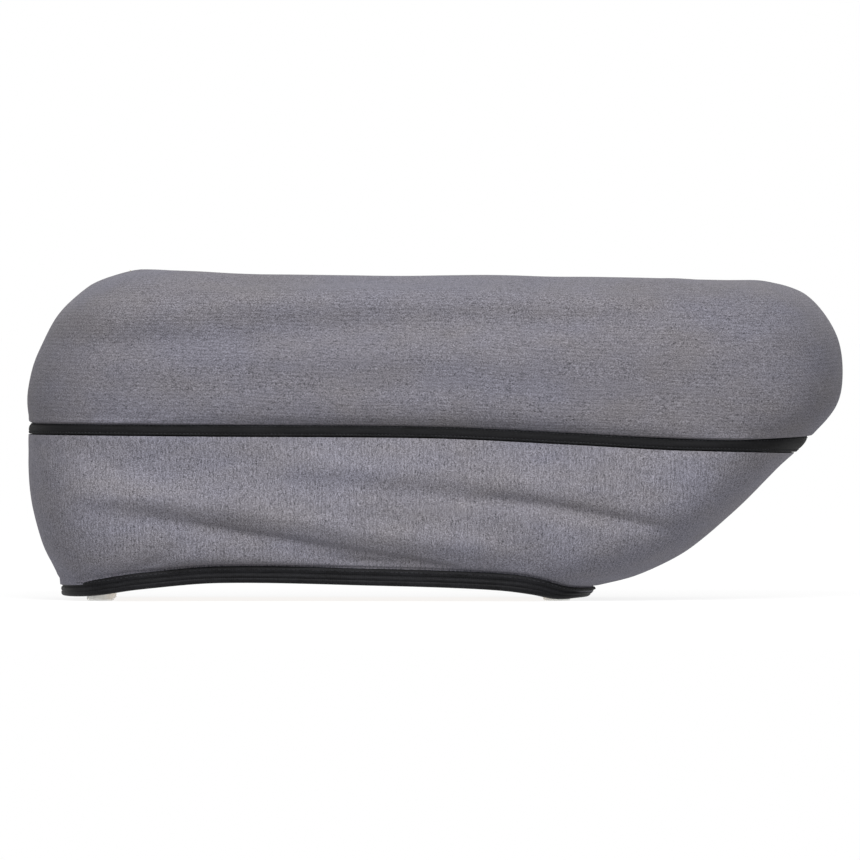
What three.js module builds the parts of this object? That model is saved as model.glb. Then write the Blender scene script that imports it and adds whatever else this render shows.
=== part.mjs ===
// Padded wrist rest: a knit cover in two panels over a two-layer foam core on a board with feet.
// Millimetres, +Z up. The origin is on the table under the middle of the rest, the nose points
// along +X, and the rest is the same on both sides of the plane Y = 0.

import * as THREE from 'three';
import { LoftGeometry } from 'three/addons/geometries/LoftGeometry.js';

// ---------------------------------------------------------------------------------------------
// Driving dimensions

const HALF_LENGTH = 183.4;
const HALF_WIDTH = 59;
const CROWN_REAR = 148.4; // height of the crown above its rear shoulder
const CROWN_NOSE = 143.4; // height of the crown above its nose shoulder
const SEAM_REAR = 77.2; // height of the seam tape's middle at the rear
const SEAM_NOSE = 69.8; // height of the seam tape's middle at the nose
const HEM_REAR = -168; // where the hem opening starts
const HEM_NOSE = 72.5; // where the hem opening ends, far short of the overhanging nose
const HEM_HALF_WIDTH = 49;
const HEM_DEPTH = 7.2; // depth of the hem binding along the sides
const SEAM_HALF_WIDTH = 56.5;
const SEAM_END_REAR = -183.1; // where the seam tape's middle crosses the middle plane
const SEAM_END_NOSE = 165.3;

const COVER = 1.8; // thickness of the knit and its backing
const GAP = 0.3; // clearance between pieces that touch
const TAPE_WIDTH = 5.2;
const TAPE_FACE = -0.5; // the tape's outer face, sunk between the two panels it joins
const TAPE_THICKNESS = 1.4;
const BINDING_WALL = 1;
const BINDING_PROUD = 1.3; // how far the hem binding stands out of the cover
const THREAD = 0.4; // half the thickness of a thread
const SEAM_STITCH_INSET = 1; // from the tape's edge in to a stitch line
const HEM_STITCH_SHARE = 0.82; // height of the hem's stitch line, as a share of the hem's depth
const ELASTIC_THICKNESS = 1.1;
const ELASTIC_SHARES = [0.24, 0.52]; // the elastic's lower and upper edge in the hem's depth

const FOAM_INSET = COVER + 0.6; // foam surface, measured inward from the cover's outer surface
const FOAM_BEVEL = 6; // how far the foams draw in more where they meet, and at the board

const BOARD_THICKNESS = 6;
const BOARD_BOTTOM = 9.3;
const BOARD_MARGIN = 7; // from the hem's outer edge in to the edge of the board
const FOOT_RADIUS = 6.5;
const FOOT_INSET = 18; // from each end of the hem to the middles of the feet there
const FOOT_SPREAD = 22; // from the middle plane out to the middle of each foot
const SCREW_RADIUS = 1.75;
const SCREW_HEAD_RADIUS = 3.6;
const SCREW_HEAD_HEIGHT = 2.4;
const SCREW_LENGTH = 8;

// How finely a ring round the rest is divided, and how squarely its ends are rounded
const SIDE_STEPS = 12;
const END_STEPS = 10;
const END_DEPTH = 0.8; // depth of a rounded end, as a share of the half width
const END_SQUARENESS = 0.85; // 1 is an ellipse, less is squarer

// ---------------------------------------------------------------------------------------------
// Curves

const { lerp, clamp } = THREE.MathUtils;

// A smooth height through [position, height] points, level beyond the first and the last.
function smoothHeight(points) {
  const slopes = points.map((point, i) => {
    const before = points[Math.max(i - 1, 0)];
    const after = points[Math.min(i + 1, points.length - 1)];
    const isEnd = before === point || after === point;
    return isEnd ? 0 : (after[1] - before[1]) / (after[0] - before[0]);
  });
  return (position) => {
    const at = clamp(position, points[0][0], points.at(-1)[0]);
    const next = Math.max(1, points.findIndex((point) => point[0] >= at));
    const [x0, z0] = points[next - 1];
    const [x1, z1] = points[next];
    const span = x1 - x0;
    const t = (at - x0) / span;
    const rise = t * t * (3 - 2 * t);
    const leave = t * (1 - t) * (1 - t) * span * slopes[next - 1];
    const arrive = t * t * (t - 1) * span * slopes[next];
    return lerp(z0, z1, rise) + leave + arrive;
  };
}

function spline(points) {
  return new THREE.SplineCurve(points.map(([a, b]) => new THREE.Vector2(a, b)));
}

// A point of a rising meridian moved inward by a distance. Outward is +1 where the meridian
// faces the positive direction, and -1 where it faces the negative one.
function insetPoint(meridian, t, distance, outward) {
  const point = meridian.getPoint(t);
  const tangent = meridian.getTangent(t);
  point.x -= outward * tangent.y * distance;
  point.y += outward * tangent.x * distance;
  return point;
}

// Heights along the rest: the crown and the tape's middle by X, the hem by the share of its length
const crownHeight = smoothHeight([
  [-134, CROWN_REAR],
  [-95, CROWN_REAR - 2],
  [-45, CROWN_REAR - 3.2],
  [60, CROWN_NOSE + 1.2],
  [150, CROWN_NOSE],
]);
const seamHeight = smoothHeight([
  [-HALF_LENGTH, SEAM_REAR],
  [-100, SEAM_REAR - 1.2],
  [0, SEAM_REAR - 2.2],
  [60, SEAM_REAR - 4.6],
  [110, SEAM_NOSE + 0.6],
  [165, SEAM_NOSE],
]);
const hemBottom = smoothHeight([
  [0, 2],
  [0.14, 5.4],
  [0.3, 8.4],
  [0.6, 7.2],
  [0.8, 5.4],
  [0.94, 0.8],
  [1, 1.2],
]);
const hemDepth = smoothHeight([
  [0, HEM_DEPTH],
  [0.8, HEM_DEPTH],
  [1, 4.4],
]);

// Meridians of the cover's outer surface, each with matching points from bottom to top. The rear
// and nose ones are [x, z]. The side ones are [half width, share of the rise].
const LOWER_SHARES = [0, 0.11, 0.28, 0.54, 0.79, 1];
const lowerRear = spline([
  [HEM_REAR + BINDING_PROUD, hemBottom(0) + hemDepth(0) + GAP],
  [-170.8, 15.5],
  [-176.8, 26],
  [-181.2, 43],
  [-183, 60],
  [-183.1, SEAM_REAR - TAPE_WIDTH / 2 - GAP],
]);
const lowerNose = spline([
  [HEM_NOSE - BINDING_PROUD, hemBottom(1) + hemDepth(1) + GAP],
  [90.5, 11.6],
  [112.5, 22.4],
  [133.5, 39],
  [149.5, 54.2],
  [162.3, SEAM_NOSE - TAPE_WIDTH / 2 - GAP],
]);
const LOWER_WIDTHS = [HEM_HALF_WIDTH - BINDING_PROUD, 51, 54.2, 56.8, 57.4, 56.4];

const UPPER_SHARES = [0, 0.23, 0.47, 0.71, 0.885, 0.975, 1];
const upperRear = spline([
  [-183.2, SEAM_REAR + TAPE_WIDTH / 2 + GAP],
  [-182.7, 94],
  [-179.2, 111],
  [-171.2, 127.2],
  [-159.2, 139],
  [-146.5, 145.4],
  [-132, CROWN_REAR],
]);
const upperNose = spline([
  [168.3, SEAM_NOSE + TAPE_WIDTH / 2 + GAP],
  [180.6, 87],
  [HALF_LENGTH, 101],
  [180.6, 118],
  [171, 132.6],
  [158, 140.8],
  [142, CROWN_NOSE],
]);
const UPPER_WIDTHS = [56.8, 58.7, HALF_WIDTH, 57.4, 50.2, 33, 0];
const UPPER_RISE = CROWN_REAR - SEAM_REAR - TAPE_WIDTH;
const LOWER_RISE = SEAM_REAR - TAPE_WIDTH / 2 - hemBottom(0.5);

const upperSide = spline(UPPER_WIDTHS.map((width, i) => [width, UPPER_SHARES[i] * UPPER_RISE]));
const lowerSide = spline(LOWER_WIDTHS.map((width, i) => [width, LOWER_SHARES[i] * LOWER_RISE]));

// ---------------------------------------------------------------------------------------------
// Rings round the rest

// One entry for each point of a ring, anticlockwise from above: how far along the straight side
// it is, how far it reaches into a rounded end, and how far out to a side.
function ringPattern() {
  const pattern = [];
  const roundness = (value) => Math.sign(value) * Math.abs(value) ** END_SQUARENESS;
  for (const side of [-1, 1]) {
    const end = -side;
    for (let i = 1; i < SIDE_STEPS; i += 1) {
      const along = side < 0 ? i / SIDE_STEPS : 1 - i / SIDE_STEPS;
      pattern.push({ along, reach: 0, out: side });
    }
    for (let i = 0; i <= END_STEPS; i += 1) {
      const angle = (Math.PI * i) / END_STEPS;
      const reach = end * roundness(Math.sin(angle));
      pattern.push({ along: end > 0 ? 1 : 0, reach, out: side * roundness(Math.cos(angle)) });
    }
  }
  return pattern;
}
const RING = ringPattern();

// A ring from its two end points, its half width, and the height of its sides at a place given
// by X and by the share of the ring's length. The rounded ends blend to the end points' heights.
function makeRing(rear, nose, halfWidth, sideHeight) {
  const depth = halfWidth * END_DEPTH;
  return RING.map(({ along, reach, out }) => {
    const x = lerp(rear.x + depth, nose.x - depth, along) + reach * depth;
    const side = sideHeight(x, (x - rear.x) / (nose.x - rear.x));
    const end = reach > 0 ? nose.y : rear.y;
    return new THREE.Vector3(x, out * halfWidth, lerp(side, end, reach * reach));
  });
}

function upperRing(t, inset = 0) {
  const rear = insetPoint(upperRear, t, inset, -1);
  const nose = insetPoint(upperNose, t, inset, 1);
  const side = insetPoint(upperSide, t, inset, 1);
  const width = t === 1 ? 0 : side.x;
  return makeRing(rear, nose, width, (x) => {
    const start = seamHeight(x) + TAPE_WIDTH / 2 + GAP;
    return start + ((crownHeight(x) - start) * side.y) / UPPER_RISE;
  });
}

function lowerRing(t, inset = 0) {
  const rear = insetPoint(lowerRear, t, inset, -1);
  const nose = insetPoint(lowerNose, t, inset, 1);
  const side = insetPoint(lowerSide, t, inset, 1);
  return makeRing(rear, nose, side.x, (x, share) => {
    const start = hemBottom(share) + hemDepth(share) + GAP;
    const top = seamHeight(x) - TAPE_WIDTH / 2 - GAP;
    return lerp(start, top, side.y / LOWER_RISE);
  });
}

// Rings that follow the seam tape and the hem, moved out from the cover and up from a datum
// The cover is upright at the rear, and at the nose it leans out at 45 degrees.
function seamRing(out, up) {
  const lean = out * Math.SQRT1_2;
  const rear = new THREE.Vector2(SEAM_END_REAR - out, SEAM_REAR + up);
  const nose = new THREE.Vector2(SEAM_END_NOSE + up + lean, SEAM_NOSE + up - lean);
  return makeRing(rear, nose, SEAM_HALF_WIDTH + out, (x) => seamHeight(x) + up);
}

function hemRing(out, upShare) {
  const inward = BINDING_PROUD - out;
  const height = (share) => hemBottom(share) + hemDepth(share) * upShare;
  const rear = new THREE.Vector2(HEM_REAR + inward, height(0));
  const nose = new THREE.Vector2(HEM_NOSE - inward, height(1));
  return makeRing(rear, nose, HEM_HALF_WIDTH - inward, (x, share) => height(share));
}

// ---------------------------------------------------------------------------------------------
// Bodies

const steps = (count) => Array.from({ length: count + 1 }, (_, i) => i / count);

// A hoop with a constant section: the section's corners run anticlockwise, [out, up]
function hoop(ringAt, corners) {
  const rings = corners.map(([out, up]) => ringAt(out, up));
  return new LoftGeometry([...rings, rings[0]]);
}

// Moves a ring onto a plane that falls evenly from the rear to the nose
function layOn(ring, heightAt) {
  return ring.map((point) => new THREE.Vector3(point.x, point.y, heightAt(point.x)));
}

function keepAbove(ring, height) {
  return ring.map((point) => new THREE.Vector3(point.x, point.y, Math.max(point.z, height)));
}

// The plane where the two foams meet, a little off the seam so that it stays flat
const foamJoint = (x) => lerp(SEAM_REAR, SEAM_NOSE, (x + HALF_LENGTH) / (2 * HALF_LENGTH));

// Levels of the cover's inner surface, which the foam inside it shares, so that the two faceted
// surfaces stay parallel
const UPPER_LEVELS = steps(9);
const LOWER_LEVELS = steps(6);

function topPanel() {
  const inner = UPPER_LEVELS.toReversed().map((t) => upperRing(t, COVER));
  const outer = steps(12).map((t) => upperRing(t));
  return new LoftGeometry([...inner, ...outer]);
}

function skirtPanel() {
  const inner = LOWER_LEVELS.toReversed().map((t) => lowerRing(t, COVER));
  const outer = steps(8).map((t) => lowerRing(t));
  return new LoftGeometry([...inner, ...outer, inner[0]]);
}

function seamTape() {
  const inner = TAPE_FACE - TAPE_THICKNESS;
  const edge = TAPE_WIDTH / 2;
  return hoop(seamRing, [
    [TAPE_FACE, -edge],
    [TAPE_FACE, edge],
    [inner, edge],
    [inner, -edge],
  ]);
}

// A continuous thread that lies on a surface, with a diamond section. The ring's height is
// counted in units of this many millimetres.
function threadOn(ringAt, surface, up, unit) {
  const middle = surface + THREAD + GAP / 2;
  return hoop(ringAt, [
    [middle + THREAD, up],
    [middle, up + THREAD / unit],
    [middle - THREAD, up],
    [middle, up - THREAD / unit],
  ]);
}

// The binding is folded up round the elastic: a channel whose lips meet the skirt's edge
function hemBinding() {
  const outside = BINDING_PROUD;
  const inside = -COVER - BINDING_PROUD;
  const floor = 0.17;
  const corner = 0.6;
  return hoop(hemRing, [
    [outside - corner, 0],
    [outside, 0.12],
    [outside, 1],
    [outside - BINDING_WALL, 1],
    [outside - BINDING_WALL, floor],
    [inside + BINDING_WALL, floor],
    [inside + BINDING_WALL, 1],
    [inside, 1],
    [inside, 0.12],
    [inside + corner, 0],
  ]);
}

function hemElastic() {
  const outside = -COVER / 2 + ELASTIC_THICKNESS / 2;
  const inside = outside - ELASTIC_THICKNESS;
  const [low, high] = ELASTIC_SHARES;
  return hoop(hemRing, [
    [outside, low],
    [outside, high],
    [inside, high],
    [inside, low],
  ]);
}

function comfortFoam() {
  const base = layOn(upperRing(0, FOAM_INSET + FOAM_BEVEL), (x) => foamJoint(x) + GAP);
  const rings = UPPER_LEVELS.slice(1).map((t) => upperRing(t, FOAM_INSET));
  return new LoftGeometry([base, ...rings], { capStart: true });
}

function supportFoam() {
  const floor = BOARD_BOTTOM + BOARD_THICKNESS + GAP;
  const levels = LOWER_LEVELS.slice(1, -1);
  const base = layOn(lowerRing(levels[0], FOAM_INSET + FOAM_BEVEL), () => floor);
  const rings = levels.map((t) => keepAbove(lowerRing(t, FOAM_INSET), floor + 1));
  const top = layOn(lowerRing(1, FOAM_INSET + FOAM_BEVEL / 3), (x) => foamJoint(x) - GAP);
  return new LoftGeometry([base, ...rings, top], { capStart: true, capEnd: true });
}

// Middles of the four feet, by name
const FOOT_PLACES = {
  rear_left: [HEM_REAR + FOOT_INSET, FOOT_SPREAD],
  rear_right: [HEM_REAR + FOOT_INSET, -FOOT_SPREAD],
  front_left: [HEM_NOSE - FOOT_INSET, FOOT_SPREAD],
  front_right: [HEM_NOSE - FOOT_INSET, -FOOT_SPREAD],
};

// The board's outline keeps one margin inside the hem, and has a pilot hole over each foot
function baseBoard() {
  const rear = new THREE.Vector2(HEM_REAR + BOARD_MARGIN, 0);
  const nose = new THREE.Vector2(HEM_NOSE - BOARD_MARGIN, 0);
  const outline = makeRing(rear, nose, HEM_HALF_WIDTH - BOARD_MARGIN, () => 0);
  const shape = new THREE.Shape(outline.map(({ x, y }) => new THREE.Vector2(x, y)));
  const bore = SCREW_RADIUS + GAP;
  for (const [x, y] of Object.values(FOOT_PLACES)) {
    const circle = new THREE.EllipseCurve(x, y, bore, bore).getPoints(14);
    shape.holes.push(new THREE.Path(circle.slice(1)));
  }
  return new THREE.ExtrudeGeometry(shape, { depth: BOARD_THICKNESS, bevelEnabled: false });
}

const lathe = (profile, segments) => {
  const points = profile.map(([radius, height]) => new THREE.Vector2(radius, height));
  return new THREE.LatheGeometry(points, segments).rotateX(Math.PI / 2);
};

// Soft foot with a counterbore from below, from the table up to the board
const FOOT_HEIGHT = BOARD_BOTTOM - GAP;
const COUNTERBORE_DEPTH = 4.8;

function foot() {
  const bore = SCREW_RADIUS + GAP;
  const counterbore = SCREW_HEAD_RADIUS + GAP;
  return lathe(
    [
      [bore, COUNTERBORE_DEPTH],
      [counterbore, COUNTERBORE_DEPTH],
      [counterbore, 0],
      [FOOT_RADIUS - 1, 0],
      [FOOT_RADIUS - 0.4, 0.6],
      [FOOT_RADIUS, FOOT_HEIGHT],
      [bore, FOOT_HEIGHT],
      [bore, COUNTERBORE_DEPTH],
    ],
    24,
  );
}

// Pan-head screw with its head down, measured up from the underside of the head
function screw() {
  const recess = 0.9;
  return lathe(
    [
      [0, recess],
      [1.2, recess],
      [1.2, 0],
      [SCREW_HEAD_RADIUS - 0.8, 0],
      [SCREW_HEAD_RADIUS, 0.9],
      [SCREW_HEAD_RADIUS, SCREW_HEAD_HEIGHT],
      [SCREW_RADIUS, SCREW_HEAD_HEIGHT],
      [SCREW_RADIUS, SCREW_HEAD_HEIGHT + SCREW_LENGTH - 1],
      [0, SCREW_HEAD_HEIGHT + SCREW_LENGTH],
    ],
    14,
  );
}

// ---------------------------------------------------------------------------------------------
// Materials and assembly

const FINISHES = {
  knit: { color: 0x7e7c84, roughness: 0.95, metalness: 0 },
  trim: { color: 0x262628, roughness: 0.7, metalness: 0 },
  thread: { color: 0x333335, roughness: 0.6, metalness: 0 },
  softFoam: { color: 0xe6dcae, roughness: 0.9, metalness: 0 },
  firmFoam: { color: 0x8f9aa6, roughness: 0.9, metalness: 0 },
  plywood: { color: 0xb98f60, roughness: 0.6, metalness: 0 },
  silicone: { color: 0xdcdcd8, roughness: 0.5, metalness: 0 },
  steel: { color: 0xbfc2c6, roughness: 0.3, metalness: 1 },
};

const rest = new THREE.Group();

function add(name, geometry, finish) {
  const mesh = new THREE.Mesh(geometry, new THREE.MeshStandardMaterial(FINISHES[finish]));
  mesh.name = name;
  rest.add(mesh);
  return mesh;
}

add('top_panel', topPanel(), 'knit');
add('skirt_panel', skirtPanel(), 'knit');
add('seam_tape', seamTape(), 'trim');
const stitchLine = TAPE_WIDTH / 2 - SEAM_STITCH_INSET;
add('seam_thread_upper', threadOn(seamRing, TAPE_FACE, stitchLine, 1), 'thread');
add('seam_thread_lower', threadOn(seamRing, TAPE_FACE, -stitchLine, 1), 'thread');
add('hem_binding', hemBinding(), 'trim');
add('hem_thread', threadOn(hemRing, BINDING_PROUD, HEM_STITCH_SHARE, HEM_DEPTH), 'thread');
add('hem_elastic', hemElastic(), 'trim');
add('comfort_foam', comfortFoam(), 'softFoam');
add('support_foam', supportFoam(), 'firmFoam');
add('base_board', baseBoard(), 'plywood').position.z = BOARD_BOTTOM;

for (const [place, [x, y]] of Object.entries(FOOT_PLACES)) {
  add(`foot_${place}`, foot(), 'silicone').position.set(x, y, 0);
  const headBottom = COUNTERBORE_DEPTH - GAP - SCREW_HEAD_HEIGHT;
  add(`foot_screw_${place}`, screw(), 'steel').position.set(x, y, headBottom);
}

export default rest;
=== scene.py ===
"""A padded wrist rest: a heather knit cover over foam, with a black seam tape and an elastic hem.

Everything is in metres in the CAD frame: +Z up and the nose along +X. The cover's surfaces are
rings round the rest, worked out from the boxes of the CAD nodes.
"""

import math
import random

import bpy
import numpy as np
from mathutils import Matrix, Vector


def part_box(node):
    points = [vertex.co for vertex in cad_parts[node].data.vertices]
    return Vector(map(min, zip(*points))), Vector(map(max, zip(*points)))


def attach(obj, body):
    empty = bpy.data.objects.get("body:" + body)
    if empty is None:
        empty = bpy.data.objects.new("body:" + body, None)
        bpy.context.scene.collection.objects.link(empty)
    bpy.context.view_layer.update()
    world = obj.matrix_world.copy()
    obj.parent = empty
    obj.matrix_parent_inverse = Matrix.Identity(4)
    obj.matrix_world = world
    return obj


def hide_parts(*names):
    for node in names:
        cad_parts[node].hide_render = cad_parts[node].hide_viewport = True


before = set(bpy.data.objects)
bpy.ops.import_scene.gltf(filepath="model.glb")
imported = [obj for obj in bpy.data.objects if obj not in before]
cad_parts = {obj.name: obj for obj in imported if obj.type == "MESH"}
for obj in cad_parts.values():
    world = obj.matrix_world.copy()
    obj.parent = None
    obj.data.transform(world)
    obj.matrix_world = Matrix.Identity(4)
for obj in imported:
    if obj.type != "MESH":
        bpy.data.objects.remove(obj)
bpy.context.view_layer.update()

MM = 0.001

# ---------------------------------------------------------------------------------------------
# Places taken from the frame

TOP_LOW, TOP_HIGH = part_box("top_panel")
TAPE_LOW, TAPE_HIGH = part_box("seam_tape")
HEM_LOW, HEM_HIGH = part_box("hem_binding")
_, BOARD_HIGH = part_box("base_board")

REAR = TOP_LOW.x
NOSE = TOP_HIGH.x
LENGTH = NOSE - REAR
MIDDLE_X = (NOSE + REAR) / 2
HEIGHT = TOP_HIGH.z
HALF_WIDTH = TOP_HIGH.y

# The crown and the seam fall a little from the rear to the nose
CROWN_REAR = HEIGHT
CROWN_NOSE = CROWN_REAR - 5 * MM
TAPE_WIDTH = 5.2 * MM
TAPE_NOSE_SPREAD = 1.35  # how many times wider the tape is round the nose
SEAM_REAR = TAPE_HIGH.z - TAPE_WIDTH / 2
SEAM_NOSE = SEAM_REAR - 7.4 * MM
SEAM_END_REAR = TAPE_LOW.x + 0.2 * MM
SEAM_END_NOSE = NOSE - 18.1 * MM
SEAM_HALF_WIDTH = TAPE_HIGH.y + 0.5 * MM
GAP = 0.3 * MM  # from a panel's outline to the trim, and from the foam to the board
HEM_DEPTH = 7.2 * MM
BINDING_PROUD = 1.3 * MM  # how far the binding stands out from the cover


def add_object(data, name):
    thing = bpy.data.objects.new(name, data)
    bpy.context.scene.collection.objects.link(thing)
    return thing


# ---------------------------------------------------------------------------------------------
# Camera

CAMERA_RISE = math.radians(0.6)
CAMERA_DISTANCE = 6.0
CAMERA_SIGHT = 100  # metres, which takes in the whole floor
FILL = 0.948  # share of the picture's width that the rest takes
AIM_X = -0.0067  # the picture's middle, in lengths from the middle of the rest
AIM_Z = 0.513  # and in heights above the table


def add_camera():
    data = bpy.data.cameras.new("camera")
    camera = add_object(data, "camera")
    aim = Vector((MIDDLE_X + AIM_X * LENGTH, 0, AIM_Z * HEIGHT))
    away = Vector((0, -math.cos(CAMERA_RISE), math.sin(CAMERA_RISE)))
    camera.location = aim + away * CAMERA_DISTANCE
    camera.rotation_euler = away.to_track_quat("Z", "Y").to_euler()
    data.lens = data.sensor_width * CAMERA_DISTANCE * FILL / LENGTH
    data.clip_end = CAMERA_SIGHT
    bpy.context.scene.camera = camera


add_camera()


# ---------------------------------------------------------------------------------------------
# Curves

def mix(a, b, share):
    return a + (b - a) * share


def smooth_step(value):
    t = np.clip(value, 0, 1)
    return t * t * (3 - 2 * t)


def smooth_curve(points):
    """A smooth function through (position, value) points, level beyond the first and the last."""
    xs, ys = (np.array(values, float) for values in zip(*points))
    slopes = np.zeros(len(xs))
    slopes[1:-1] = (ys[2:] - ys[:-2]) / (xs[2:] - xs[:-2])

    def value(position):
        at = np.clip(position, xs[0], xs[-1])
        i = np.clip(np.searchsorted(xs, at) - 1, 0, len(xs) - 2)
        span = xs[i + 1] - xs[i]
        t = (at - xs[i]) / span
        leave = t * (1 - t) ** 2 * span * slopes[i]
        arrive = t * t * (t - 1) * span * slopes[i + 1]
        return mix(ys[i], ys[i + 1], t * t * (3 - 2 * t)) + leave + arrive

    return value


def spline(points, t):
    """A point of the Catmull-Rom curve through evenly numbered points, for t from 0 to 1."""
    points = np.array(points, float)
    last = len(points) - 1
    place = min(max(t, 0), 1) * last
    i = min(int(place), last - 1)
    f = place - i
    before, start, end, after = (points[min(max(i + k, 0), last)] for k in (-1, 0, 1, 2))
    leave, arrive = (end - before) / 2, (after - start) / 2
    cubic = 2 * start - 2 * end + leave + arrive
    square = 3 * end - 3 * start - 2 * leave - arrive
    return ((cubic * f + square) * f + leave) * f + start


def along_rest(points):
    """Turns (place, value) points into (x, value), with place -1 at the rear and 1 at the nose."""
    return [(MIDDLE_X + place * LENGTH / 2, value) for place, value in points]


crown_height = smooth_curve(
    along_rest(
        [
            (-0.73, CROWN_REAR),
            (-0.52, CROWN_REAR - 2 * MM),
            (-0.245, CROWN_REAR - 3.2 * MM),
            (0.33, CROWN_NOSE + 1.2 * MM),
            (0.82, CROWN_NOSE),
        ]
    )
)
seam_height = smooth_curve(
    along_rest(
        [
            (-1, SEAM_REAR),
            (-0.545, SEAM_REAR - 0.6 * MM),
            (0, SEAM_REAR - 1.4 * MM),
            (0.327, SEAM_REAR - 4.2 * MM),
            (0.6, SEAM_NOSE + 0.6 * MM),
            (0.9, SEAM_NOSE),
        ]
    )
)
# The hem's lower edge and depth, by share of its length from the rear
hem_bottom = smooth_curve(
    [
        (0, 2 * MM),
        (0.14, 5.4 * MM),
        (0.3, 8.4 * MM),
        (0.6, 7.2 * MM),
        (0.8, 5.6 * MM),
        (0.9, 3.4 * MM),
        (0.955, 0.4 * MM),
        (1, 1.4 * MM),
    ]
)
hem_depth = smooth_curve([(0, HEM_DEPTH), (0.86, HEM_DEPTH), (0.96, 6.4 * MM), (1, 4.2 * MM)])

# The cover's outlines from bottom to top. Both ends are (distance in from the end in mm, height)
# and the sides are (share of the half width, share of the rise), with the points matching.
LOWER_REAR = [
    (13.9, hem_bottom(0) + hem_depth(0) + GAP),
    (11.3, 15.5 * MM),
    (6.4, 26 * MM),
    (2, 43 * MM),
    (0.2, 60 * MM),
    (0.4, SEAM_REAR - TAPE_WIDTH / 2 - GAP),
]
LOWER_NOSE = [
    (112.2, hem_bottom(1) + hem_depth(1) + GAP),
    (92.9, 10.7 * MM),
    (70.9, 21.9 * MM),
    (49.9, 39 * MM),
    (33.9, 54.2 * MM),
    (22.0, SEAM_NOSE - TAPE_WIDTH / 2 * TAPE_NOSE_SPREAD - GAP),
]
LOWER_SIDE = [
    (0.807, 0),
    (0.891, 0.08),
    (0.939, 0.23),
    (0.968, 0.48),
    (0.976, 0.77),
    (0.967, 1),
]
UPPER_REAR = [
    (0.4, SEAM_REAR + TAPE_WIDTH / 2 + GAP),
    (0.5, 94 * MM),
    (4.8, 111 * MM),
    (13, 127.2 * MM),
    (24.8, 139 * MM),
    (36.7, 145.4 * MM),
    (51.2, CROWN_REAR),
]
UPPER_NOSE = [
    (14.2, SEAM_NOSE + TAPE_WIDTH / 2 * TAPE_NOSE_SPREAD + GAP),
    (2.8, 87 * MM),
    (0, 101 * MM),
    (2.8, 118 * MM),
    (12.4, 132.6 * MM),
    (25.4, 140.8 * MM),
    (41.4, CROWN_NOSE),
]
UPPER_SIDE = [
    (0.966, 0),
    (0.99, 0.21),
    (0.998, 0.47),
    (0.971, 0.71),
    (0.849, 0.885),
    (0.558, 0.975),
    (0, 1),
]


# ---------------------------------------------------------------------------------------------
# Rings round the rest

END_DEPTH = 0.8  # depth of a rounded end, as a share of the half width
END_SQUARENESS = 0.85  # 1 is an ellipse, less is squarer


def ring_pattern(side_steps, end_steps):
    """For each point, anticlockwise from above: its share of the straight side, its reach into a
    rounded end and how far it is out to a side. The first point is in the middle of the rear."""
    angles = np.arange(end_steps + 1) / end_steps * math.pi / 2
    shallow = np.sin(angles) ** END_SQUARENESS
    deep = np.cos(angles).clip(0) ** END_SQUARENESS
    deep[-1] = 0
    sides = np.arange(1, side_steps) / side_steps
    rear = np.column_stack((0 * angles, -deep, -shallow))
    side = np.column_stack((sides, 0 * sides, 0 * sides - 1))
    nose = np.column_stack((0 * angles + 1, shallow, -deep))
    near = np.vstack((rear, side, nose))
    far = near[-2:0:-1] * (1, 1, -1)
    return np.vstack((near, far))


FINE_RING = ring_pattern(side_steps=160, end_steps=44)
COARSE_RING = ring_pattern(side_steps=80, end_steps=22)


def make_ring(pattern, rear, nose, half_width, side_height):
    """Points from the two end points (x, z) and the height of the sides by x and by share of the
    length. The rounded ends blend to the end points' heights."""
    along, reach, out = pattern.T
    depth = half_width * END_DEPTH
    x = mix(rear[0] + depth, nose[0] - depth, along) + reach * depth
    side = side_height(x, (x - rear[0]) / (nose[0] - rear[0]))
    end = np.where(reach > 0, nose[1], rear[1])
    return np.column_stack((x, out * half_width, mix(side, end, reach * reach)))


def panel_ring(pattern, t, lines, side_start, side_end):
    """A ring of the cover at t, from the outlines of its rear, nose and side, and the heights
    between which the side rises."""
    rear_line, nose_line, side_line = lines
    rear_inset, rear_z = spline(rear_line, t)
    nose_inset, nose_z = spline(nose_line, t)
    width, rise = spline(side_line, t)
    rear = (REAR + rear_inset * MM, rear_z)
    nose = (NOSE - nose_inset * MM, nose_z)

    def side_height(x, share):
        return mix(side_start(x, share), side_end(x, share), rise)

    return make_ring(pattern, rear, nose, max(width, 0) * HALF_WIDTH, side_height)


def upper_ring(pattern, t):
    return panel_ring(
        pattern,
        t,
        (UPPER_REAR, UPPER_NOSE, UPPER_SIDE),
        lambda x, share: seam_height(x) + TAPE_WIDTH / 2 + GAP,
        lambda x, share: crown_height(x),
    )


def lower_ring(pattern, t):
    return panel_ring(
        pattern,
        t,
        (LOWER_REAR, LOWER_NOSE, LOWER_SIDE),
        lambda x, share: hem_bottom(share) + hem_depth(share) + GAP,
        lambda x, share: seam_height(x) - TAPE_WIDTH / 2 - GAP,
    )


def seam_ring(out, up):
    """Follows the seam tape. The cover is upright at the rear and leans out at the nose."""
    lean = out * math.sqrt(0.5)
    rear = (SEAM_END_REAR - out, SEAM_REAR + up)
    nose_up = up * TAPE_NOSE_SPREAD
    nose = (SEAM_END_NOSE + nose_up + lean, SEAM_NOSE + nose_up - lean)
    width = SEAM_HALF_WIDTH + out
    return make_ring(FINE_RING, rear, nose, width, lambda x, share: seam_height(x) + up)


HEM_NOSE_LEAN = 3.6 * MM  # how far the hem slopes back under the nose over its depth


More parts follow.
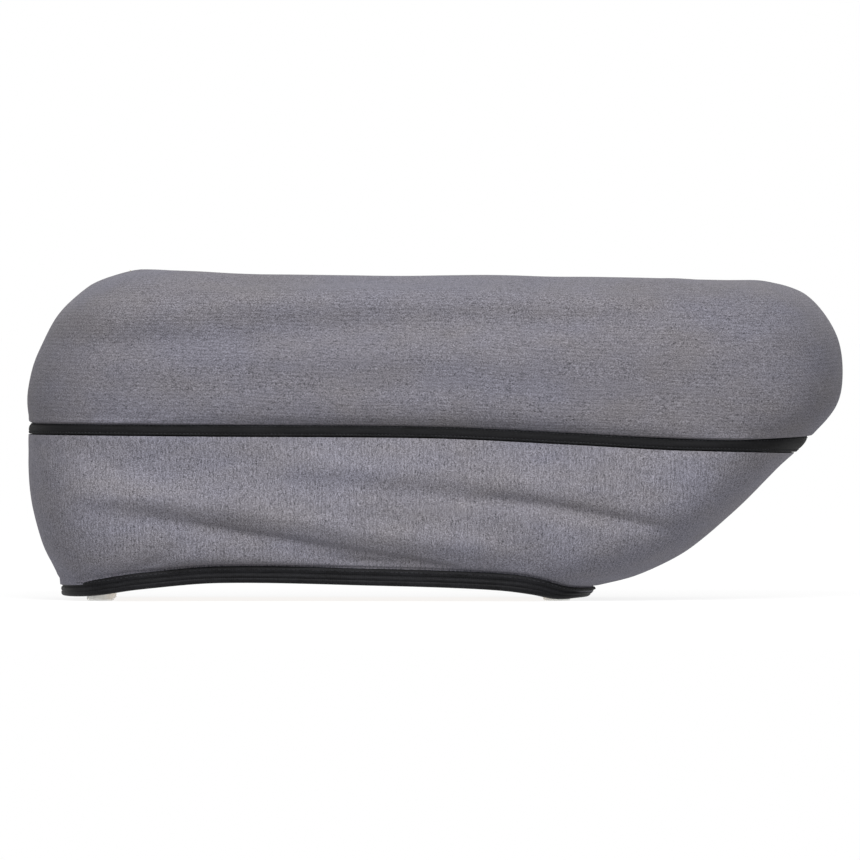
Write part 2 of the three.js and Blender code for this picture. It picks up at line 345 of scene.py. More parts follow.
def hem_ring(out, up):
    """Follows the hem. Out is counted from the cover, and up as if the hem had its full depth
    everywhere."""
    inward = BINDING_PROUD - out
    up_share = up / HEM_DEPTH

    def height(share):
        return hem_bottom(share) + hem_depth(share) * up_share

    rear = (HEM_LOW.x + inward, height(0))
    nose = (HEM_HIGH.x - inward - HEM_NOSE_LEAN * (1 - up_share), height(1))
    width = HEM_HIGH.y - inward
    return make_ring(FINE_RING, rear, nose, width, lambda x, share: height(share))


# ---------------------------------------------------------------------------------------------
# Meshes

SAME_POINT = 0.001 * MM  # points that are closer than this count as one


def shared_points(grid):
    """Points that coincide made one: the first place of each, and which one each place uses."""
    rounded = np.round(grid.reshape(-1, 3) / SAME_POINT).astype(np.int64)
    _, first, index = np.unique(rounded, axis=0, return_index=True, return_inverse=True)
    return first, index.reshape(grid.shape[:2])


def grid_normals(grid):
    """Outward normals of rows of rings that run anticlockwise and rise. Points that coincide get
    the same normal."""
    across = np.roll(grid, -1, axis=1) - np.roll(grid, 1, axis=1)
    up = np.gradient(grid, axis=0)
    first, index = shared_points(grid)
    sums = np.zeros((len(first), 3))
    np.add.at(sums, index, np.cross(across, up))
    lengths = np.linalg.norm(sums, axis=1, keepdims=True)
    normals = np.where(lengths > 1e-10, sums / np.maximum(lengths, 1e-12), (0, 0, 1))
    return normals[index]


def row_heights(grid):
    """Metres up the cloth from the first row."""
    rises = np.linalg.norm(np.diff(grid, axis=0), axis=2)
    return np.concatenate((np.zeros((1, grid.shape[1])), np.cumsum(rises, axis=0)))


def cloth_uv(grid):
    """Metres along each ring from the middle of a side, the same on both sides, and metres up."""
    half = grid[:, : grid.shape[1] // 2 + 1]
    steps = np.linalg.norm(np.diff(half, axis=1), axis=2)
    along = np.concatenate((np.zeros((len(grid), 1)), np.cumsum(steps, axis=1)), axis=1)
    middle = np.array([np.interp(MIDDLE_X, row[:, 0], a) for row, a in zip(half, along)])
    along = along - middle[:, None]
    along = np.concatenate((along, along[:, -2:0:-1]), axis=1)
    return np.stack((along, row_heights(grid)), axis=2)


def grid_mesh(name, grid, uv=None, wrap_rows=False):
    """A mesh over rows of rings. Faces whose points coincide become triangles or go."""
    rows, columns = grid.shape[:2]
    first, index = shared_points(grid)
    faces, corners = [], []
    for i in range(rows if wrap_rows else rows - 1):
        above = (i + 1) % rows
        for j in range(columns):
            beside = (j + 1) % columns
            ring = [(i, j), (i, beside), (above, beside), (above, j)]
            kept = [c for n, c in enumerate(ring) if index[c] != index[ring[n - 1]]]
            if len(kept) > 2:
                faces.append([int(index[c]) for c in kept])
                corners.extend(kept)
    mesh = bpy.data.meshes.new(name)
    mesh.from_pydata(grid.reshape(-1, 3)[first].tolist(), [], faces)
    if uv is not None:
        layer = mesh.uv_layers.new(name="cloth")
        layer.data.foreach_set("uv", np.array([uv[c] for c in corners]).ravel())
    return mesh


def add_piece(mesh, name, material, slot, *replaced):
    piece = add_object(mesh, name)
    mesh.materials.append(material)
    for polygon in mesh.polygons:
        polygon.use_smooth = True
    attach(piece, "root")
    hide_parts(*replaced)
    return piece


def smooth_surface(piece):
    modifier = piece.modifiers.new("surface", "SUBSURF")
    modifier.levels = 1
    modifier.render_levels = 1


# ---------------------------------------------------------------------------------------------
# Material helpers

def linear(red, green, blue):
    """A colour from 0 to 255 as a screen shows it, in the renderer's linear light."""
    def channel(value):
        v = value / 255
        return v / 12.92 if v <= 0.04045 else ((v + 0.055) / 1.055) ** 2.4

    return (channel(red), channel(green), channel(blue), 1)


class Finish:
    """A Principled material and short ways to wire its nodes."""

    def __init__(self, name, **shader_values):
        self.material = bpy.data.materials.new(name)
        self.material.use_nodes = True
        self.nodes = self.material.node_tree.nodes
        self.shader = self.nodes["Principled BSDF"]
        for key, value in shader_values.items():
            socket = key.replace("_", " ").title().replace("Ior", "IOR")
            self.shader.inputs[socket].default_value = value

    def wire(self, output, socket):
        self.material.node_tree.links.new(output, socket)

    def place(self):
        return self.nodes.new("ShaderNodeTexCoord").outputs["Object"]

    def cloth(self, axis):
        layer = self.nodes.new("ShaderNodeUVMap")
        layer.uv_map = "cloth"
        split = self.nodes.new("ShaderNodeSeparateXYZ")
        self.wire(layer.outputs["UV"], split.inputs[0])
        return split.outputs[axis]

    def attribute(self, name):
        node = self.nodes.new("ShaderNodeAttribute")
        node.attribute_name = name
        return node.outputs["Fac"]

    def noise(self, scale, detail=2.0, roughness=0.55):
        """Noise with its features per metre along each axis."""
        mapping = self.nodes.new("ShaderNodeMapping")
        mapping.inputs["Scale"].default_value = scale
        self.wire(self.place(), mapping.inputs["Vector"])
        noise = self.nodes.new("ShaderNodeTexNoise")
        noise.inputs["Scale"].default_value = 1.0
        noise.inputs["Detail"].default_value = detail
        noise.inputs["Roughness"].default_value = roughness
        self.wire(mapping.outputs["Vector"], noise.inputs["Vector"])
        return noise.outputs["Fac"]

    def compute(self, operation, a, b=0.0):
        node = self.nodes.new("ShaderNodeMath")
        node.operation = operation
        for socket, value in zip(node.inputs, (a, b)):
            if isinstance(value, (int, float)):
                socket.default_value = value
            else:
                self.wire(value, socket)
        return node.outputs[0]

    def wave(self, position, pitch, wander=0.0):
        """A sine along the position. Wander shifts it, in radians."""
        angle = self.compute("MULTIPLY", position, 2 * math.pi / pitch)
        return self.compute("SINE", self.compute("ADD", angle, wander))

    def total(self, parts):
        """One half plus the weighted sum of (output, its middle value, weight) parts."""
        result = 0.5
        for output, middle, weight in parts:
            part = self.compute("MULTIPLY", self.compute("SUBTRACT", output, middle), weight)
            result = self.compute("ADD", part, result)
        return result

    def blend(self, share, a, b):
        """From output a to output b by share."""
        return self.compute(
            "ADD",
            self.compute("MULTIPLY", a, self.compute("SUBTRACT", 1.0, share)),
            self.compute("MULTIPLY", b, share),
        )

    def ramp(self, value, stops):
        node = self.nodes.new("ShaderNodeValToRGB")
        for element, (position, colour) in zip(node.color_ramp.elements, stops):
            element.position = position
            element.color = colour
        self.wire(value, node.inputs["Fac"])
        return node.outputs["Color"]

    def tint(self, colour, tint):
        node = self.nodes.new("ShaderNodeVectorMath")
        node.operation = "MULTIPLY"
        self.wire(colour, node.inputs[0])
        self.wire(tint, node.inputs[1])
        return node.outputs[0]

    def colour(self, output):
        self.wire(output, self.shader.inputs["Base Color"])

    def bump(self, height, distance, strength=0.8):
        node = self.nodes.new("ShaderNodeBump")
        node.inputs["Strength"].default_value = strength
        node.inputs["Distance"].default_value = distance
        self.wire(height, node.inputs["Height"])
        self.wire(node.outputs["Normal"], self.shader.inputs["Normal"])


# ---------------------------------------------------------------------------------------------
# Materials

RIB_PITCH = 1.75 * MM


def knit_finish(name, dark, light, long_yarn, short_yarn, rib_axis):
    """Heather knit. Each yarn is the stretch of its noise along X, Y and Z on the sides and on the
    rounded ends, in features per metre, and the ribs repeat along the cloth's rib axis."""
    finish = Finish(
        name,
        roughness=0.95,
        specular_ior_level=0.1,
        sheen_weight=0.1,
        sheen_roughness=0.5,
        sheen_tint=linear(214, 212, 222),
    )
    facing = finish.attribute("end_share")
    streaks = finish.blend(facing, *(finish.noise(scale, 3.0) for scale in long_yarn))
    strands = finish.blend(facing, *(finish.noise(scale, 2.0) for scale in short_yarn))
    speckle = finish.noise((2400, 2400, 2400), 1.0)
    wander = finish.compute("MULTIPLY", finish.noise((60, 60, 60), 2.0), 9.0)
    ribs = finish.wave(finish.cloth(rib_axis), RIB_PITCH, wander)
    patches = finish.noise((30, 30, 46), 3.0, 0.6)
    tone = finish.total(
        [
            (streaks, 0.5, 0.3),
            (strands, 0.5, 0.6),
            (speckle, 0.5, 1.05),
            (ribs, 0.0, 0.025),
            (patches, 0.5, 0.1),
        ]
    )
    grey = finish.ramp(tone, [(0.14, dark), (0.86, light)])
    warm_to_cool = finish.ramp(
        finish.noise((15, 15, 34), 3.0, 0.6),
        [(0.36, (1.015, 1.0, 0.975, 1)), (0.64, (0.97, 0.985, 1.05, 1))],
    )
    finish.colour(finish.tint(grey, warm_to_cool))
    height = finish.total([(strands, 0.5, 1.0), (speckle, 0.5, 0.7), (ribs, 0.0, 0.15)])
    finish.bump(height, 0.2 * MM)
    return finish.material


def trim_finish(name, dark, light, roughness, rib_pitch):
    """Black woven trim: fine ribs across the tape, lint, and patches worn smooth."""
    finish = Finish(
        name,
        roughness=roughness,
        specular_ior_level=0.1,
        sheen_weight=0.01,
        sheen_roughness=0.4,
    )
    ribs = finish.wave(finish.cloth("X"), rib_pitch)
    fuzz = finish.noise((1500, 1500, 1500), 2.0)
    wear = finish.noise((70, 70, 500), 3.0)
    tone = finish.total([(fuzz, 0.5, 0.9), (wear, 0.5, 0.9), (ribs, 0.0, 0.08)])
    finish.colour(finish.ramp(tone, [(0.25, dark), (0.85, light)]))
    finish.bump(finish.total([(fuzz, 0.5, 1.0), (ribs, 0.0, 0.45)]), 0.12 * MM, 0.6)
    return finish.material


def grain_finish(name, dark, light, scale, bump, **shader_values):
    """A finish whose colour and surface follow one grain, such as foam, silicone or steel. Scale
    is in features per metre."""
    finish = Finish(name, **shader_values)
    grain = finish.noise(scale, 4.0)
    finish.colour(finish.ramp(grain, [(0.3, dark), (0.7, light)]))
    finish.bump(grain, bump, 0.7)
    return finish.material


# The grain runs along the rest on the upper panel and upright on the skirt
upper_knit = knit_finish(
    "upper_knit",
    dark=linear(29, 28, 30),
    light=linear(112, 110, 116),
    long_yarn=((300, 1700, 1700), (1700, 300, 1700)),
    short_yarn=((1000, 2300, 2300), (2300, 1000, 2300)),
    rib_axis="Y",
)
skirt_knit = knit_finish(
    "skirt_knit",
    dark=linear(30, 29, 31),
    light=linear(125, 123, 130),
    long_yarn=((1500, 1500, 120), (1500, 1500, 120)),
    short_yarn=((2200, 2200, 650), (2200, 2200, 650)),
    rib_axis="X",
)
tape_weave = trim_finish(
    "tape_weave", dark=linear(5, 5, 6), light=linear(18, 18, 20), roughness=0.75, rib_pitch=0.6 * MM
)
hem_weave = trim_finish(
    "hem_weave", dark=linear(5, 5, 6), light=linear(24, 24, 27), roughness=0.6, rib_pitch=0.9 * MM
)
thread_finish = trim_finish(
    "thread", dark=linear(16, 16, 18), light=linear(48, 48, 52), roughness=0.5, rib_pitch=0.4 * MM
)
cream_foam = grain_finish(
    "cream_foam",
    dark=linear(206, 192, 146),
    light=linear(238, 228, 190),
    scale=(900, 900, 900),
    bump=0.4 * MM,
    roughness=0.95,
)
grey_foam = grain_finish(
    "grey_foam",
    dark=linear(118, 128, 140),
    light=linear(158, 168, 180),
    scale=(700, 700, 700),
    bump=0.4 * MM,
    roughness=0.95,
)
elastic_braid = grain_finish(
    "elastic_braid",
    dark=linear(190, 190, 185),
    light=linear(230, 230, 226),
    scale=(1200, 1200, 300),
    bump=0.1 * MM,
    roughness=0.8,
)
plywood = grain_finish(
    "plywood",
    dark=linear(172, 134, 90),
    light=linear(214, 180, 132),
    scale=(26, 420, 900),
    bump=0.08 * MM,
    roughness=0.6,
)
silicone = grain_finish(
    "silicone",
    dark=linear(236, 236, 233),
    light=linear(246, 246, 243),
    scale=(500, 500, 500),
    bump=0.03 * MM,
    roughness=0.4,
    transmission_weight=0.35,
    ior=1.42,
)
zinc_steel = grain_finish(
    "zinc_steel",
    dark=linear(166, 168, 172),
    light=linear(212, 214, 218),
    scale=(300, 300, 300),
    bump=0.01 * MM,
    roughness=0.32,
    metallic=1.0,
)


# ---------------------------------------------------------------------------------------------
# Folds: lines that the cover is drawn in or pushed out along

FOLD_FADE = 0.07  # a fold fades in and out over this share of the rest's length


def fold(points, depth, width, fade=FOLD_FADE):
    """A valley, or a ridge if its depth is negative, along (share of the length, share of the
    height) points. Depth and width are in millimetres."""
    xs = [REAR + along * LENGTH for along, up in points]
    zs = [up * HEIGHT for along, up in points]
    line = smooth_curve(list(zip(xs, zs)))
    span = fade * LENGTH

    def push(x, z):
        strength = smooth_step((x - xs[0]) / span) * smooth_step((xs[-1] - x) / span)
        return -depth * MM * strength * np.exp(-(((z - line(x)) / (width * MM)) ** 2))

    return push


SKIRT_FOLDS = [
    # a long valley falls from the rear to the hem, with a crease in it and ridges on both sides
    fold(
        [(0.05, 0.262), (0.12, 0.255), (0.21, 0.222), (0.33, 0.165), (0.45, 0.095), (0.6, 0.03)],
        depth=2.3,
        width=4.8,
        fade=0.13,
    ),
    fold(
        [(0.15, 0.243), (0.27, 0.205), (0.35, 0.172), (0.46, 0.126), (0.6, 0.07)],
        depth=1.3,
        width=1.7,
        fade=0.12,
    ),
    fold(
        [(0.04, 0.325), (0.12, 0.318), (0.22, 0.29), (0.33, 0.25), (0.45, 0.195), (0.62, 0.16)],
        depth=-2.0,
        width=5.2,
    ),
    fold([(0.12, 0.15), (0.22, 0.13), (0.33, 0.1), (0.42, 0.08)], depth=-1.2, width=4.6),
    # a second valley is sharpest below the nose, with a ridge above it
    fold(
        [(0.06, 0.395), (0.2, 0.372), (0.33, 0.355), (0.45, 0.33), (0.6, 0.298), (0.84, 0.2)],
        depth=1.1,
        width=5.0,
    ),
    fold(
        [(0.5, 0.312), (0.61, 0.295), (0.68, 0.266), (0.74, 0.24), (0.82, 0.205)],
        depth=2.2,
        width=2.9,
        fade=0.1,
    ),
    fold([(0.3, 0.42), (0.45, 0.39), (0.6, 0.36), (0.74, 0.32)], depth=-1.2, width=5.2),
    # a shallow one lies close to the seam at the rear
    fold([(0.02, 0.43), (0.16, 0.425), (0.36, 0.41)], depth=2.0, width=6.5, fade=0.1),
]
UPPER_FOLDS = [
    # a wide valley below the top edge rises and fades towards the nose
    fold(
        [(0.0, 0.77), (0.21, 0.79), (0.46, 0.84), (0.62, 0.85), (0.8, 0.86)],
        depth=3.6,
        width=8.0,
        fade=0.12,
    ),
    # the top edge rolls out over it
    fold([(0.02, 0.87), (0.21, 0.89), (0.46, 0.925), (0.66, 0.94)], depth=-1.5, width=5.6, fade=0.14),
]
FAR_SHIFT = -0.04  # the far side's folds lie nearer the rear, by this share of the length
FAR_DEPTH = 0.6  # and have this share of the near side's depth
COVER_WAVES = [(70 * MM, 0.3 * MM), (28 * MM, 0.1 * MM)]  # its slight unevenness: sizes, heights
WAVE_COUNT = 7


def soft_noise(points, sizes, seed):
    """A smooth random field, the sum of a few plane waves of each (size, height)."""
    dice = random.Random(seed)
    total = np.zeros(points.shape[:-1])
    for size, height in sizes:
        for _ in range(WAVE_COUNT):
            direction = np.array([dice.gauss(0, 1) for _ in range(3)])
            direction /= np.linalg.norm(direction)
            phase = dice.uniform(0, 2 * math.pi)
            wave = np.sin(points @ direction * 2 * math.pi / size + phase)
            total += height / math.sqrt(WAVE_COUNT) * wave
    return total


def fold_push(grid, folds, seed):
    """How far out each point moves. The near side's folds turn into the far side's over the
    middle half of the width."""
    x, y, z = grid[..., 0], grid[..., 1], grid[..., 2]
    near = smooth_step(0.5 - y / HALF_WIDTH)
    far_x = x - FAR_SHIFT * LENGTH
    push = soft_noise(grid, COVER_WAVES, seed)
    for make in folds:
        push += near * make(x, z) + (1 - near) * FAR_DEPTH * make(far_x, z)
    return push


# ---------------------------------------------------------------------------------------------
# Cloth simulation

SETTLE_FRAMES = 20
SETTLE_PRESSURE = 4.0
SETTLE_START = 0.8 * MM  # the cloth starts this much smaller, because pressure swells it
SETTLE_CAP = 3.0 * MM
SETTLE_EASE = 4  # rows from an edge to where the cloth moves freely
SETTLE_SPREAD = 30  # rounds of smoothing that tell the overall movement from the local part
REFINE_ROUNDS = 3  # rounds of smoothing after the coarse moves are carried to the fine grid


def pressed_cloth(mesh, sewn_points, name):
    """Runs the cloth with its sewn points fixed and returns where its points end up."""
    piece = add_object(mesh, name)
    piece.vertex_groups.new(name="sewn").add(sewn_points, 1.0, "REPLACE")
    cloth = piece.modifiers.new("cloth", "CLOTH")
    cloth.settings.quality = 6
    cloth.settings.mass = 0.2
    cloth.settings.tension_stiffness = 18
    cloth.settings.compression_stiffness = 12
    cloth.settings.shear_stiffness = 6
    cloth.settings.bending_stiffness = 1.2
    cloth.settings.air_damping = 3
    cloth.settings.use_pressure = True
    cloth.settings.uniform_pressure_force = SETTLE_PRESSURE
    cloth.settings.vertex_group_mass = "sewn"
    cloth.settings.effector_weights.gravity = 0
    cloth.collision_settings.use_self_collision = False
    cloth.point_cache.frame_start = 1
    cloth.point_cache.frame_end = SETTLE_FRAMES
    scene = bpy.context.scene
    for frame_number in range(1, SETTLE_FRAMES + 1):
        scene.frame_set(frame_number)
    settled = piece.evaluated_get(bpy.context.evaluated_depsgraph_get()).data
    places = np.empty(len(settled.vertices) * 3)
    settled.vertices.foreach_get("co", places)
    scene.frame_set(1)
    bpy.data.objects.remove(piece)
    return places.reshape(-1, 3)


def neighbour_mean(field):
    """Each point's mean with its neighbours along its ring and in the rows above and below."""
    mean = field / 2 + (np.roll(field, 1, axis=1) + np.roll(field, -1, axis=1)) / 4
    padded = np.concatenate((mean[:1], mean, mean[-1:]))
    return padded[1:-1] / 2 + (padded[2:] + padded[:-2]) / 4


def settle(grid, name, top_sewn):
    """How far each point moves as the cloth settles under the foam's pressure, sewn along its
    first row and, if it is so, its last. Only the local part counts, because the firm foam
    holds the cover's overall shape."""
    last = len(grid) - 1
    row = np.arange(last + 1)
    free = smooth_step(row / SETTLE_EASE) * smooth_step((last - row) / SETTLE_EASE)
    free = free[:, None, None]
    first, index = shared_points(grid)
    start = grid - grid_normals(grid) * SETTLE_START * free
    start = start.reshape(-1, 3)[first][index]
    first, index = shared_points(start)
    row_of = first // grid.shape[1]
    sewn = np.flatnonzero((row_of == 0) | ((row_of == last) & top_sewn))
    places = pressed_cloth(grid_mesh(name, start), [int(v) for v in sewn], name)
    moves = places[index] - grid
    size = np.linalg.norm(moves, axis=2, keepdims=True)
    moves *= np.minimum(1, SETTLE_CAP / np.maximum(size, 1e-9))
    overall = moves
    for _ in range(SETTLE_SPREAD):
        overall = neighbour_mean(overall)
    return (moves - overall) * free


def refine(moves):
    """Carries moves from the coarse rings and rows to rings and rows twice as fine."""
    rows, columns = moves.shape[:2]
    finer = np.zeros((rows * 2 - 1, columns * 2, 3))
    finer[::2, ::2] = moves
    finer[::2, 1::2] = (moves + np.roll(moves, -1, axis=1)) / 2
    finer[1::2] = (finer[:-2:2] + finer[2::2]) / 2
    edges = finer[[0, -1]]
    for _ in range(REFINE_ROUNDS):
        finer = neighbour_mean(finer)
    finer[[0, -1]] = edges
    return finer


def settled_grid(ring, rows, name, top_sewn):
    """Fine rows of rings, moved as the coarse cloth settles."""
    shares = np.arange(rows + 1) / rows
    fine = np.array([ring(FINE_RING, share) for share in shares])
    coarse = np.array([ring(COARSE_RING, share) for share in shares[::2]])
    return fine + refine(settle(coarse, name, top_sewn))


# ---------------------------------------------------------------------------------------------
# Cover panels

UPPER_ROWS = 112
SEAM_DENSITY = 0.4  # how much closer the rows are at the seam than halfway up
BULGE_OUT = 1.3 * MM  # how far the upper panel bulges above the tape
BULGE_HEIGHT = 9 * MM
BULGE_WIDTH = 7 * MM
ROLL_RADIUS = 5.5 * MM  # the quarter round in which it then turns in to the tape
ROLL_DEPTH = 4.4 * MM
ROLL_DROP = 1.0 * MM  # how far the round hangs down over the tape
ROLL_AT_ENDS = 0.1  # share of the bulge and the round that both ends of the rest have
ROLL_FROM = 0.16  # share of the length at which they start to grow, and how soon they are full
ROLL_RISE = 0.2
ROLL_TO = 0.84  # and the same from the nose
ROLL_FALL = 0.22
UPPER_EASE = 8 * MM  # the folds come in over this height above the tape
SKIRT_ROWS = 64
SKIRT_EASE_LOW = 6 * MM  # and over these above the hem and below the tape
SKIRT_EASE_HIGH = 4 * MM
HEM_TUCK = 0.5 * MM  # how far the hem draws the skirt in
TUCK_WIDTH = 1.7 * MM
TURNED_ROWS = 4
END_GRAIN_FROM = 0.35  # a normal's share along X where the rounded ends' grain comes in
END_GRAIN_RISE = 0.5  # and how much more it takes to be full


def roll_share(x):
    """How much the upper panel rolls over the tape: more in the middle of the rest than at its
    ends."""
    share = (x - REAR) / LENGTH
    rise = smooth_step((share - ROLL_FROM) / ROLL_RISE)
    return mix(ROLL_AT_ENDS, 1, rise * smooth_step((ROLL_TO - share) / ROLL_FALL))


def add_turned_edge(grid, down, inward):
    """Adds rows below the first that run on down and turn in behind the trim, in millimetres."""
    turn = grid_normals(grid)[0] * -inward + (0, 0, -down)
    steps = np.arange(TURNED_ROWS, 0, -1)[:, None, None] / TURNED_ROWS
    return np.concatenate((grid[0] + turn * steps * MM, grid))


def cover_piece(name, grid, material, slot, replaced):
    """A panel of the cover, with its cloth coordinates and each point's share of facing a rounded
    end.
    """
    mesh = grid_mesh(name, grid, cloth_uv(grid))
    facing_ends = np.abs(grid_normals(grid)[..., 0])
    end_share = smooth_step((facing_ends - END_GRAIN_FROM) / END_GRAIN_RISE).ravel()
    attribute = mesh.attributes.new("end_share", "FLOAT", "POINT")
    attribute.data.foreach_set("value", end_share[shared_points(grid)[0]].astype(np.float32))
    piece = add_piece(mesh, name, material, slot, replaced)
    smooth_surface(piece)


def make_upper_cover():
    def ring(pattern, share):
        return upper_ring(pattern, share * (1 - SEAM_DENSITY * (1 - share)))

    grid = settled_grid(ring, UPPER_ROWS, "upper_settling", top_sewn=False)
    height = row_heights(grid)
    here = roll_share(grid[..., 0])
    bulge = BULGE_OUT * np.exp(-(((height - BULGE_HEIGHT) / BULGE_WIDTH) ** 2))
    below = np.clip(1 - height / ROLL_RADIUS, 0, 1)
    roll = ROLL_DEPTH * (1 - np.sqrt(1 - below**2))
    folds = fold_push(grid, UPPER_FOLDS, seed=3) * smooth_step(height / UPPER_EASE)
    push = folds + here * (bulge - roll)
    grid = grid + grid_normals(grid) * push[..., None]
    grid[..., 2] -= ROLL_DROP * here * below
    grid = add_turned_edge(grid, down=3.0, inward=3.0)
    cover_piece("upper_cover", grid, upper_knit, "upper_knit", "top_panel")


def make_skirt_cover():
    grid = settled_grid(lower_ring, SKIRT_ROWS, "skirt_settling", top_sewn=True)
    height = row_heights(grid)
    below_seam = height[-1] - height
    ease = smooth_step(height / SKIRT_EASE_LOW) * smooth_step(below_seam / SKIRT_EASE_HIGH)
    tuck = HEM_TUCK * np.exp(-((height / TUCK_WIDTH) ** 2))
    push = fold_push(grid, SKIRT_FOLDS, seed=8) * ease - tuck
    grid = grid + grid_normals(grid) * push[..., None]
    grid = add_turned_edge(grid, down=3.0, inward=0.3)
    cover_piece("skirt_cover", grid, skirt_knit, "skirt_knit", "skirt_panel")


make_upper_cover()
make_skirt_cover()


# ---------------------------------------------------------------------------------------------
# Trim: sections of (out, up) points in millimetres, carried round the rest

# The tape's upper edge goes under the roll and its lower edge lies on the skirt, and a groove
# takes the stitches near the lower edge
TAPE_SECTION = [
    (-1.6, -2.0),
    (-0.7, -2.45),
    (-0.1, -2.55),
    (0.24, -2.4),
    (0.32, -2.05),
    (0.2, -1.8),
    (0.04, -1.6),
    (0.2, -1.35),
    (0.32, -1.0),
    (0.3, -0.2),
    (0.15, 0.6),
    (-0.2, 1.3),
    (-0.9, 1.9),
    (-1.8, 2.3),
    (-3.0, 2.5),
    (-6.0, 2.6),
    (-6.0, 0.6),
    (-3.0, 0.2),
]
# The binding has, from the bottom, its folded edge, two narrow ridges, a dark groove and an upper
# strip that carries the stitches
HEM_SECTION = [
    (-3.0, 0.8),
    (-2.2, 0.1),
    (-0.8, -0.2),
    (0.5, -0.05),
    (1.1, 0.3),
    (1.35, 0.85),
    (1.42, 1.5),
    (1.3, 1.95),
    (1.02, 2.15),
    (1.3, 2.35),
    (1.5, 2.8),
    (1.5, 3.4),
    (1.3, 3.85),
    (0.9, 4.1),
    (0.8, 4.3),
    (0.95, 4.5),
    (1.2, 4.9),
    (1.3, 5.5),
    (1.25, 6.3),
    (1.0, 7.0),
    (0.4, 7.35),
    (-0.6, 7.35),
    (-2.4, 7.2),
    (-3.0, 6.5),
]
ELASTIC_SECTION = [(-1.7, 2.4), (-0.5, 2.4), (-0.5, 5.4), (-1.7, 5.4)]


def hoop_piece(name, ring_at, section, material, slot, replaced):
    """A closed section carried round the rest, as a ribbon with thickness."""
    grid = np.array([ring_at(out * MM, up * MM) for out, up in section])
    mesh = grid_mesh(name, grid, cloth_uv(grid), wrap_rows=True)
    smooth_surface(add_piece(mesh, name, material, slot, replaced))


hoop_piece("seam_tape_weave", seam_ring, TAPE_SECTION, tape_weave, "tape", "seam_tape")
hoop_piece("hem_weave", hem_ring, HEM_SECTION, hem_weave, "binding", "hem_binding")
hoop_piece("elastic_band", hem_ring, ELASTIC_SECTION, elastic_braid, "elastic", "hem_elastic")


# ---------------------------------------------------------------------------------------------
# Stitches

STITCH_SIDES = 8
STITCH_RINGS = 5
STITCH_DIP = 1.1  # how deep a stitch's ends dip into the cloth, in thread thicknesses
STITCH_STRAY = 0.04  # how far a stitch strays along the row, in pitches
STITCH_BLUNT = 0.12  # share of the taper that is left off each end


def add_stitch(verts, faces, start, end, outward, thickness, slant):
    """Adds one short thread from start to end, whose ends dip into the cloth and which slants
    across the row."""
    along = (end - start) / np.linalg.norm(end - start)
    normal = outward / np.linalg.norm(outward)
    across = np.cross(along, normal)
    base = len(verts)
    for share in np.linspace(0, 1, STITCH_RINGS):
        taper = math.sin(math.pi * mix(STITCH_BLUNT, 1 - STITCH_BLUNT, share))
        radius = thickness / 2 * math.sqrt(taper)
        dip = STITCH_DIP * thickness * (2 * share - 1) ** 2
        centre = mix(start, end, share) - normal * dip + across * slant * (share - 0.5)
        for k in range(STITCH_SIDES):
            angle = 2 * math.pi * k / STITCH_SIDES
            verts.append(centre + (normal * math.cos(angle) + across * math.sin(angle)) * radius)
    for i in range(STITCH_RINGS - 1):
        for k in range(STITCH_SIDES):
            a = base + i * STITCH_SIDES + k
            b = base + i * STITCH_SIDES + (k + 1) % STITCH_SIDES
            faces.append((a, a + STITCH_SIDES, b + STITCH_SIDES, b))
    last = base + (STITCH_RINGS - 1) * STITCH_SIDES
    faces.append(tuple(base + k for k in range(STITCH_SIDES)))
    faces.append(tuple(last + k for k in reversed(range(STITCH_SIDES))))


def stitch_row(name, ring_at, out, up, pitch, length, thickness, slant, replaced):
    """Separate stitches along a ring. Sizes are in millimetres."""
    line = ring_at(out * MM, up * MM)
    outward = ring_at((out + 1) * MM, up * MM) - line
    line, outward = (np.vstack((table, table[:1])) for table in (line, outward))
    steps = np.linalg.norm(np.diff(line, axis=0), axis=1)
    reach = np.concatenate(([0], np.cumsum(steps)))
    count = round(reach[-1] / (pitch * MM))
    dice = random.Random(name)

    def at(table, distance):
        return np.array([np.interp(distance % reach[-1], reach, column) for column in table.T])

    verts, faces = [], []
    for n in range(count):
        stray = dice.uniform(-STITCH_STRAY, STITCH_STRAY)
        middle = (n + 0.5 + stray) * reach[-1] / count
        start, end = (at(line, middle + side * length / 2 * MM) for side in (-1, 1))
        add_stitch(verts, faces, start, end, at(outward, middle), thickness * MM, slant * MM)
    mesh = bpy.data.meshes.new(name)
    mesh.from_pydata([tuple(v) for v in verts], [], faces)
    mesh.uv_layers.new(name="cloth")
    add_piece(mesh, name, thread_finish, "thread", replaced)


SEAM_STITCH = {"pitch": 1.7, "length": 1.35, "thickness": 0.36, "slant": 0.12}
HEM_STITCH = {"pitch": 2.2, "length": 1.75, "thickness": 0.42, "slant": 0.0}
stitch_row("seam_stitches_upper", seam_ring, -0.75, 1.8, replaced="seam_thread_upper", **SEAM_STITCH)
stitch_row("seam_stitches_lower", seam_ring, 0.22, -1.6, replaced="seam_thread_lower", **SEAM_STITCH)
stitch_row("hem_stitches", hem_ring, 1.38, 5.95, replaced="hem_thread", **HEM_STITCH)


# ---------------------------------------------------------------------------------------------
# Foam blocks

FOAM_ROWS = 24
FOAM_INSET = 5.6 * MM  # more than the deepest fold
FOAM_BEVEL = 6 * MM
BEVEL_HEIGHT = 3 * FOAM_BEVEL
FOAM_WAVES = [(24 * MM, 0.12 * MM)]
LID_LENGTH = 0.7  # a cut face closes to a centre line of this share of the block's length


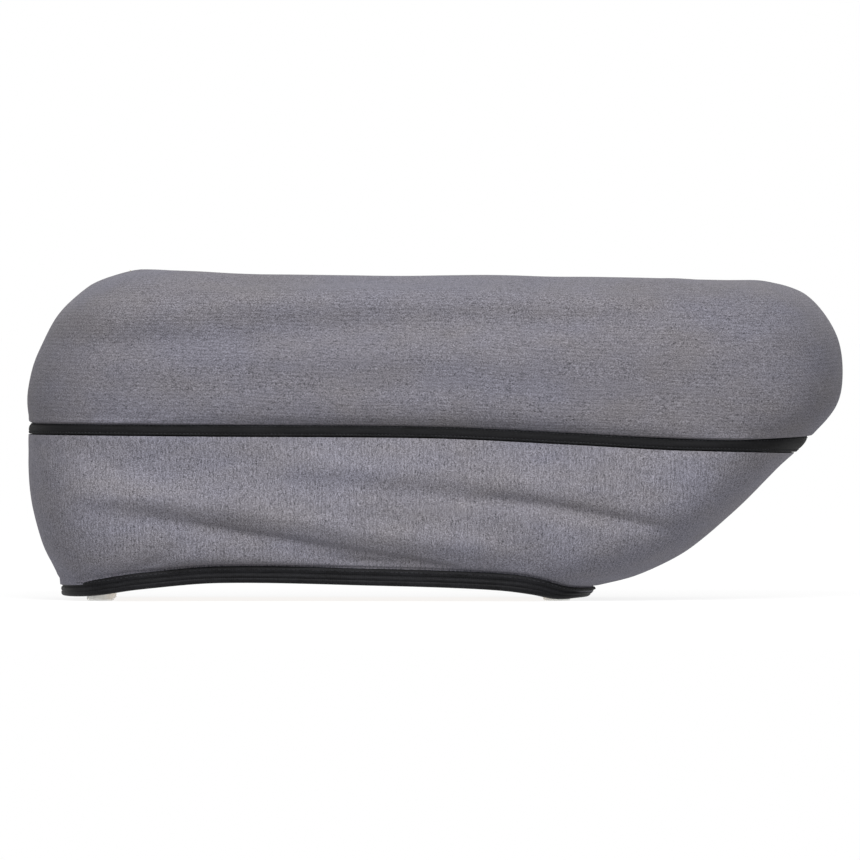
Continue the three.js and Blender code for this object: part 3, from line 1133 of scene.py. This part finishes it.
def foam_piece(name, ring, material, slot, replaced, closed_top):
    """A block of foam that fills the cover from one edge of its panel to the other. It draws in
    at its cut faces, and its skin is slightly uneven."""
    shares = np.arange(FOAM_ROWS + 1) / FOAM_ROWS
    grid = np.array([ring(COARSE_RING, share) for share in shares])
    normals = grid_normals(grid)
    height = row_heights(grid)
    cut = smooth_step(1 - height / BEVEL_HEIGHT)
    if not closed_top:
        cut = cut + smooth_step(1 - (height[-1] - height) / BEVEL_HEIGHT)
    unevenness = soft_noise(grid, FOAM_WAVES, seed=5)
    grid = grid + normals * (unevenness - FOAM_INSET - FOAM_BEVEL * cut)[..., None]
    grid[..., 2] = np.maximum(grid[..., 2], BOARD_HIGH.z + GAP)

    def lid(edge):
        inner = edge * (1, 0, 1)
        inner[:, 0] = mix(edge[:, 0].mean(), edge[:, 0], LID_LENGTH)
        return inner

    rows = [lid(grid[0])[None], grid]
    if not closed_top:
        rows.append(lid(grid[-1])[None])
    grid = np.concatenate(rows)
    piece = add_piece(grid_mesh(name, grid), name, material, slot, replaced)


foam_piece(
    "comfort_foam_block", upper_ring, cream_foam, "comfort_foam", "comfort_foam", closed_top=True
)
foam_piece(
    "support_foam_block", lower_ring, grey_foam, "support_foam", "support_foam", closed_top=False
)


# ---------------------------------------------------------------------------------------------
# Pieces whose CAD shape is right

def finish_node(name, material):
    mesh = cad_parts[name].data
    mesh.materials.clear()
    mesh.materials.append(material)


finish_node("base_board", plywood)
for corner in ("rear_left", "rear_right", "front_left", "front_right"):
    finish_node(f"foot_{corner}", silicone)
    finish_node(f"foot_screw_{corner}", zinc_steel)


# ---------------------------------------------------------------------------------------------
# Stage and light

FLOOR_REACH = 30.0
FLOOR_SHADE = 0.15
FLOOR_GLOW = 0.85  # the floor gives light too, so that the shadow on it stays faint
SKY_STRENGTH = 1.0
KEY_POWER = 5.7
KEY_SIZE = 0.38
KEY_FROM = Vector((0, -0.475, 0.38))  # from the middle of the rest to the softbox


def add_floor():
    r = FLOOR_REACH
    mesh = bpy.data.meshes.new("floor")
    mesh.from_pydata([(-r, -r, 0), (r, -r, 0), (r, r, 0), (-r, r, 0)], [], [(0, 1, 2, 3)])
    finish = Finish(
        "floor_paper",
        base_color=(FLOOR_SHADE, FLOOR_SHADE, FLOOR_SHADE, 1),
        roughness=0.9,
        specular_ior_level=0.0,
        emission_color=(1, 1, 1, 1),
        emission_strength=FLOOR_GLOW,
    )
    mesh.materials.append(finish.material)
    add_object(mesh, "floor")


def add_key():
    data = bpy.data.lights.new("key", "AREA")
    data.shape = "DISK"
    data.size = KEY_SIZE
    data.energy = KEY_POWER
    light = add_object(data, "key")
    light.location = Vector((MIDDLE_X, 0, HEIGHT / 2)) + KEY_FROM
    light.rotation_euler = KEY_FROM.to_track_quat("Z", "Y").to_euler()


def add_sky():
    world = bpy.data.worlds.new("studio")
    bpy.context.scene.world = world
    world.use_nodes = True
    background = world.node_tree.nodes["Background"]
    background.inputs["Color"].default_value = (1, 1, 1, 1)
    background.inputs["Strength"].default_value = SKY_STRENGTH


add_floor()
add_key()
add_sky()
bpy.context.scene.view_settings.view_transform = "Standard"
